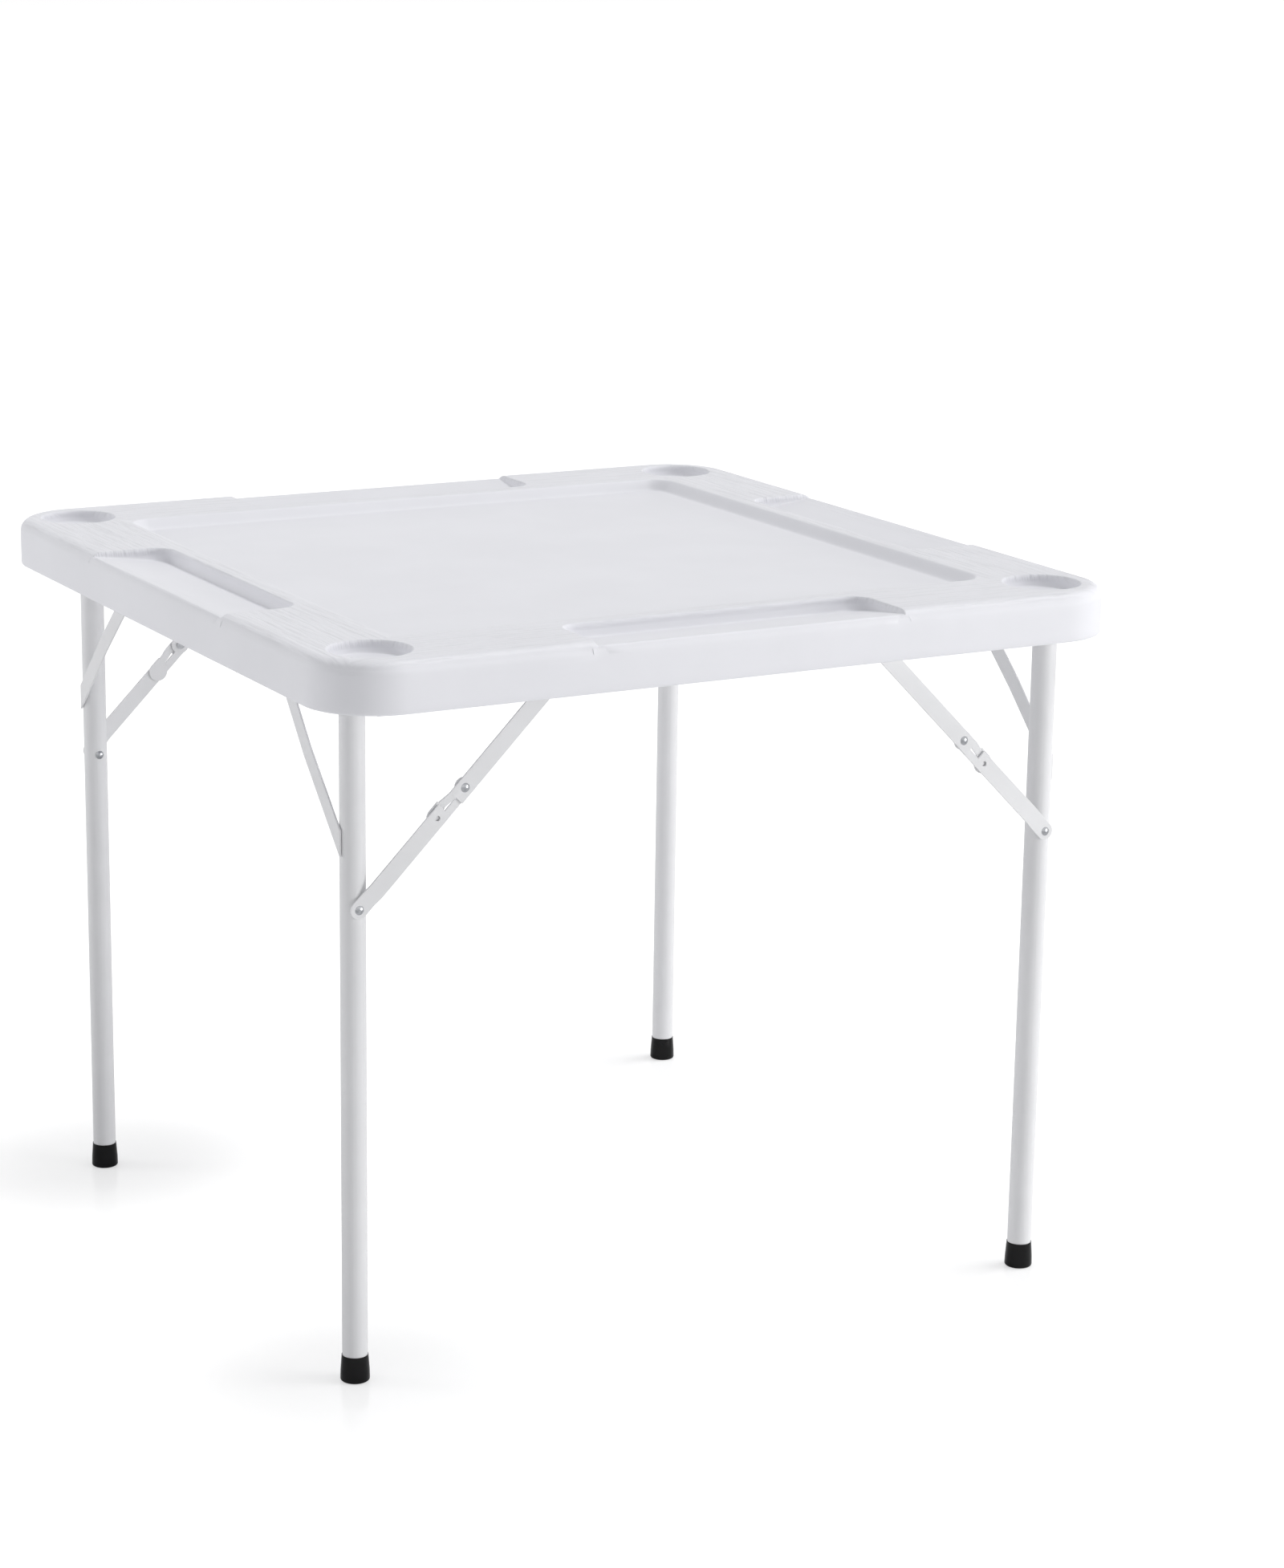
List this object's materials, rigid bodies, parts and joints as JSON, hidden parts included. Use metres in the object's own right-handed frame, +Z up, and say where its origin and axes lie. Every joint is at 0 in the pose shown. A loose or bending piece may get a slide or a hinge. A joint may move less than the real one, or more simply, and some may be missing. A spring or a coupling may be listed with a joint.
{
  "type": "folding card table",
  "caption": "Square folding card table with a moulded top, sunken playing field, side trays and cup recesses, on tube leg frames that fold flat with locking struts.",
  "frame": {"origin": "on the floor under the middle of the top, legs standing", "axes": "+Z up; X is the direction that the legs fold in, from the narrow frame at -X to the wide frame at +X; Y runs along the crossbars"},
  "size_m": [0.88, 0.88, 0.737],
  "materials": {
    "moulded_plastic": "fine-grained moulded polyethylene, smooth field",
    "coated_steel": "smooth white powder coat, satin",
    "bush_nylon": "natural nylon",
    "clip_plastic": "black moulded plastic",
    "foot_rubber": "black moulded rubber, satin",
    "rivet_chrome": "bright plated steel",
    "screw_zinc": "bright zinc plate"
  },
  "bodies": {
    "top_assembly": {"tabletop": "moulded_plastic", "rail_front": "coated_steel", "rail_back": "coated_steel", "centre_stiffener": "coated_steel", "strut_bracket_front": "coated_steel", "strut_bracket_back": "coated_steel", "rail_screws": "screw_zinc", "stiffener_screws": "screw_zinc", "bracket_screws": "screw_zinc", "pivot_bushes": "bush_nylon", "anchor_rivets": "rivet_chrome", "leg_clip": "clip_plastic", "clip_screws": "screw_zinc"},
    "narrow_frame": {"narrow_crossbar": "coated_steel", "narrow_leg_front": "coated_steel", "narrow_leg_back": "coated_steel", "narrow_foot_front": "foot_rubber", "narrow_foot_back": "foot_rubber", "narrow_brace_front": "coated_steel", "narrow_brace_back": "coated_steel", "narrow_leg_rivets": "rivet_chrome"},
    "wide_frame": {"wide_crossbar": "coated_steel", "wide_leg_front": "coated_steel", "wide_leg_back": "coated_steel", "wide_foot_front": "foot_rubber", "wide_foot_back": "foot_rubber", "wide_brace_front": "coated_steel", "wide_brace_back": "coated_steel", "wide_leg_rivets": "rivet_chrome"},
    "narrow_upper_strut_front": {"narrow_upper_link_front": "coated_steel", "narrow_lock_rivet_front": "rivet_chrome"},
    "narrow_lower_strut_front": {"narrow_lower_link_front": "coated_steel", "narrow_end_rivet_front": "rivet_chrome"},
    "narrow_upper_strut_back": {"narrow_upper_link_back": "coated_steel", "narrow_lock_rivet_back": "rivet_chrome"},
    "narrow_lower_strut_back": {"narrow_lower_link_back": "coated_steel", "narrow_end_rivet_back": "rivet_chrome"},
    "wide_upper_strut_front": {"wide_upper_link_front": "coated_steel", "wide_lock_rivet_front": "rivet_chrome"},
    "wide_lower_strut_front": {"wide_lower_link_front": "coated_steel", "wide_end_rivet_front": "rivet_chrome"},
    "wide_upper_strut_back": {"wide_upper_link_back": "coated_steel", "wide_lock_rivet_back": "rivet_chrome"},
    "wide_lower_strut_back": {"wide_lower_link_back": "coated_steel", "wide_end_rivet_back": "rivet_chrome"}
  },
  "joints": [
    {"name": "narrow_frame_fold", "type": "hinge", "parent": "top_assembly", "child": "narrow_frame", "pos_m": [-0.376, 0, 0.697], "axis": [0, -1, 0], "range_deg": [0, 90]},
    {"name": "wide_frame_fold", "type": "hinge", "parent": "top_assembly", "child": "wide_frame", "pos_m": [0.376, 0, 0.697], "axis": [0, 1, 0], "range_deg": [0, 90]},
    {"name": "narrow_upper_strut_front_turn", "type": "hinge", "parent": "top_assembly", "child": "narrow_upper_strut_front", "pos_m": [-0.1595, -0.3558, 0.697], "axis": [0, -1, 0], "range_deg": [-45, 0]},
    {"name": "narrow_lower_strut_front_turn", "type": "hinge", "parent": "narrow_upper_strut_front", "child": "narrow_lower_strut_front", "pos_m": [-0.26775, -0.3534, 0.58875], "axis": [0, -1, 0], "range_deg": [0, 180]},
    {"name": "narrow_upper_strut_back_turn", "type": "hinge", "parent": "top_assembly", "child": "narrow_upper_strut_back", "pos_m": [-0.1595, 0.3558, 0.697], "axis": [0, -1, 0], "range_deg": [-45, 0]},
    {"name": "narrow_lower_strut_back_turn", "type": "hinge", "parent": "narrow_upper_strut_back", "child": "narrow_lower_strut_back", "pos_m": [-0.26775, 0.3534, 0.58875], "axis": [0, -1, 0], "range_deg": [0, 180]},
    {"name": "wide_upper_strut_front_turn", "type": "hinge", "parent": "top_assembly", "child": "wide_upper_strut_front", "pos_m": [0.1595, -0.4038, 0.697], "axis": [0, 1, 0], "range_deg": [-45, 0]},
    {"name": "wide_lower_strut_front_turn", "type": "hinge", "parent": "wide_upper_strut_front", "child": "wide_lower_strut_front", "pos_m": [0.26775, -0.4014, 0.58875], "axis": [0, 1, 0], "range_deg": [0, 180]},
    {"name": "wide_upper_strut_back_turn", "type": "hinge", "parent": "top_assembly", "child": "wide_upper_strut_back", "pos_m": [0.1595, 0.4038, 0.697], "axis": [0, 1, 0], "range_deg": [-45, 0]},
    {"name": "wide_lower_strut_back_turn", "type": "hinge", "parent": "wide_upper_strut_back", "child": "wide_lower_strut_back", "pos_m": [0.26775, 0.4014, 0.58875], "axis": [0, 1, 0], "range_deg": [0, 180]}
  ],
  "couplings": [
    {"joint": "narrow_upper_strut_front_turn", "follows": "narrow_frame_fold", "ratio": -0.5},
    {"joint": "narrow_lower_strut_front_turn", "follows": "narrow_frame_fold", "ratio": 2},
    {"joint": "narrow_upper_strut_back_turn", "follows": "narrow_frame_fold", "ratio": -0.5},
    {"joint": "narrow_lower_strut_back_turn", "follows": "narrow_frame_fold", "ratio": 2},
    {"joint": "wide_upper_strut_front_turn", "follows": "wide_frame_fold", "ratio": -0.5},
    {"joint": "wide_lower_strut_front_turn", "follows": "wide_frame_fold", "ratio": 2},
    {"joint": "wide_upper_strut_back_turn", "follows": "wide_frame_fold", "ratio": -0.5},
    {"joint": "wide_lower_strut_back_turn", "follows": "wide_frame_fold", "ratio": 2}
  ]
}
